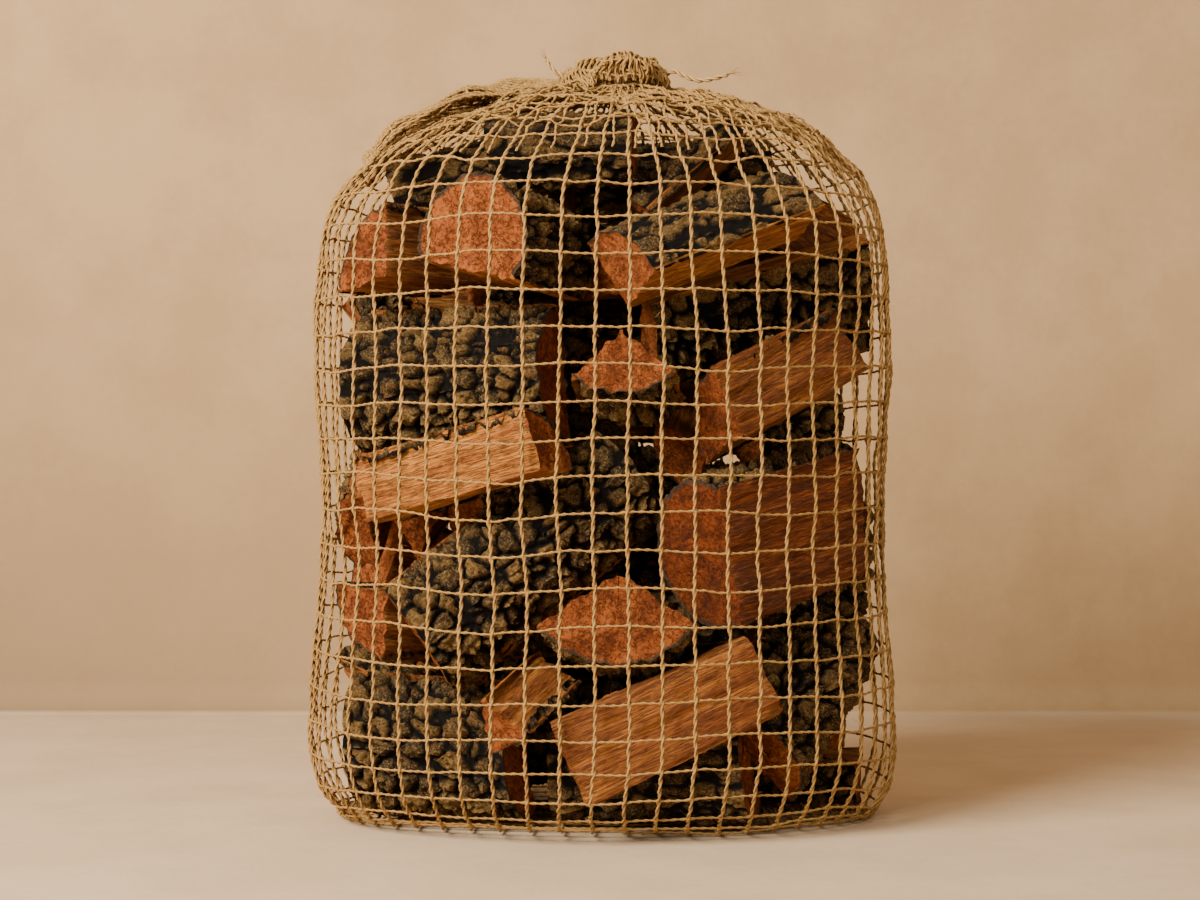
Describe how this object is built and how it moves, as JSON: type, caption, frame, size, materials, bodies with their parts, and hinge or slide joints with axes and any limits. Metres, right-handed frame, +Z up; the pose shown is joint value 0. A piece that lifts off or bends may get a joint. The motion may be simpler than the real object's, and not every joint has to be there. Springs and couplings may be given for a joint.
{
  "type": "firewood bundle in a jute net bag",
  "caption": "Upright net bag of short split logs with thick knobbly bark, the open jute netting gathered above the logs and tied with twine.",
  "frame": {"origin": "on the ground, under the middle of the bag", "axes": "+X to the right, -Y to the front of the bag, +Z up through the tied neck"},
  "size_m": [0.3996, 0.3502, 0.512],
  "materials": {
    "bark_log": "thick knobbly dark grey-brown bark, with rough sawn and split faces",
    "split_log": "dry orange-brown split wood, fibrous and matt, with a strip of bark",
    "jute_net": "open net of twisted jute twine, hairy and matt",
    "jute_twine": "two-ply jute twine, hairy and matt, with frayed ends"
  },
  "bodies": {
    "root": {"log_top_left": "split_log", "log_top_end_on": "bark_log", "log_top_right": "split_log", "log_crown": "bark_log", "log_crown_left": "bark_log", "log_shoulder_right": "split_log", "log_ridge": "split_log", "log_knobbly_left": "bark_log", "log_long_split_left": "split_log", "log_centre_wedge": "split_log", "log_split_upper_right": "split_log", "log_right_bark": "bark_log", "log_big_end": "bark_log", "log_diagonal": "bark_log", "log_low_wedge": "split_log", "log_long_split_low": "split_log", "log_left_block": "split_log", "log_knobbly_low": "bark_log", "log_left_wedge": "split_log", "log_left_low": "split_log", "log_low_right": "bark_log", "log_thin_wedge": "split_log", "log_base_front": "bark_log", "log_base_right": "split_log", "log_left_back": "split_log", "log_heart_low": "bark_log", "log_heart_middle": "bark_log", "log_heart_upper": "bark_log", "log_heart_top": "bark_log", "log_back_base_left": "bark_log", "log_back_base_right": "split_log", "log_back_low": "bark_log", "log_back_left": "bark_log", "log_back_right": "bark_log", "log_back_split": "split_log", "log_back_bark": "bark_log", "log_back_upper_left": "split_log", "log_back_top": "bark_log", "log_back_shoulder": "bark_log", "log_inner_low": "bark_log", "log_inner_back": "split_log", "log_inner_high": "bark_log", "log_inner_front": "split_log", "log_inner_left": "bark_log", "log_inner_right": "split_log", "log_low_inner_front": "bark_log", "log_left_upper": "split_log", "log_right_edge": "bark_log", "log_right_upper": "split_log", "log_top_middle": "split_log", "log_crown_front": "bark_log", "log_crown_back": "bark_log", "log_crown_right": "bark_log", "log_low_right_back": "bark_log", "log_left_middle": "split_log", "net_bag": "jute_net", "tie_cord": "jute_twine"}
  },
  "joints": []
}
